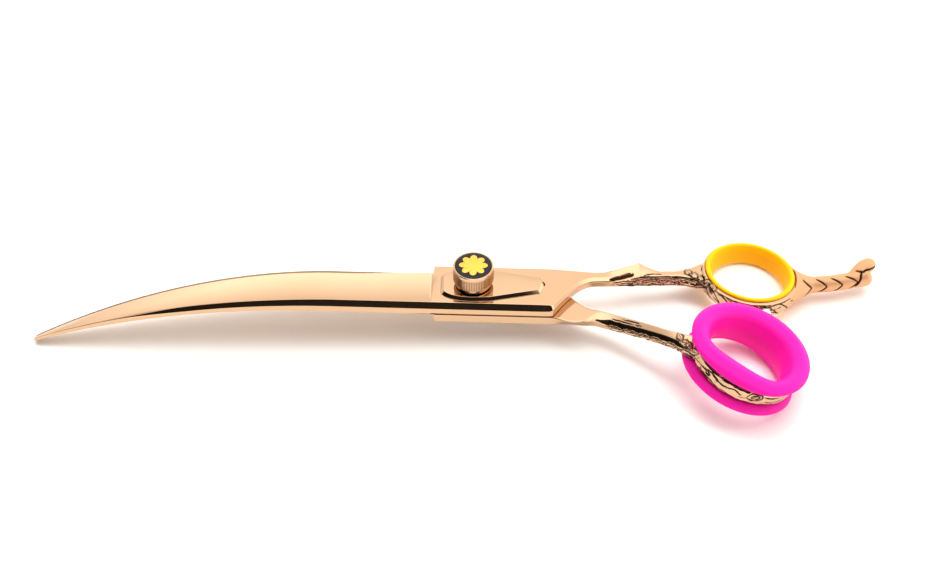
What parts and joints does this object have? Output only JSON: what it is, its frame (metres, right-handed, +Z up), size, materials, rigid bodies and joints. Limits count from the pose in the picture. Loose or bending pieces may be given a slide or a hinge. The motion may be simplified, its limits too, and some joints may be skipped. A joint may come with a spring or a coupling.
{
  "type": "hair cutting shears",
  "caption": "Rose-gold hair cutting shears with bowed blades, carved shanks, a knurled tension dial, pink thumb and yellow finger inserts and a fixed tang",
  "frame": {"origin": "on the pivot axis, at the flat face of the pivot screw's head under the shears", "axes": "+X from the blade tips towards the handles, +Y towards the finger ring's side, +Z up the pivot axis to the tension dial"},
  "size_m": [0.2281, 0.0562, 0.0267],
  "materials": {
    "rose_gold": "mirror-polished steel under a rose-gold coating, dark in the carving",
    "steel": "turned",
    "brass": "turned",
    "spring_steel": "blued",
    "nylon": "natural",
    "pink_silicone": "satin moulded silicone",
    "yellow_silicone": "satin moulded silicone",
    "clear_rubber": "translucent, glossy",
    "black_enamel": "glossy enamel with a raised gold rosette"
  },
  "bodies": {
    "finger_half": {"finger_blade": "rose_gold", "finger_insert": "yellow_silicone", "bumper": "clear_rubber", "pivot_screw": "steel", "glide_washer": "nylon", "tension_plate": "rose_gold", "plate_pin": "steel", "thrust_washer": "nylon", "spring_washer_1": "spring_steel", "spring_washer_2": "spring_steel"},
    "thumb_half": {"thumb_blade": "rose_gold", "thumb_insert": "pink_silicone", "pivot_bush": "brass"},
    "dial": {"tension_knob": "rose_gold", "knob_disc": "black_enamel", "thread_insert": "brass", "retaining_ring": "spring_steel"}
  },
  "joints": [
    {"name": "blade_pivot", "type": "hinge", "parent": "finger_half", "child": "thumb_half", "pos_m": [0, 0, 0.00345], "axis": [0, 0, -1], "range_deg": [0, 75]},
    {"name": "dial_turn", "type": "hinge", "parent": "finger_half", "child": "dial", "pos_m": [0, 0, 0.0117], "axis": [0, 0, 1], "range_deg": [-180, 180]}
  ]
}
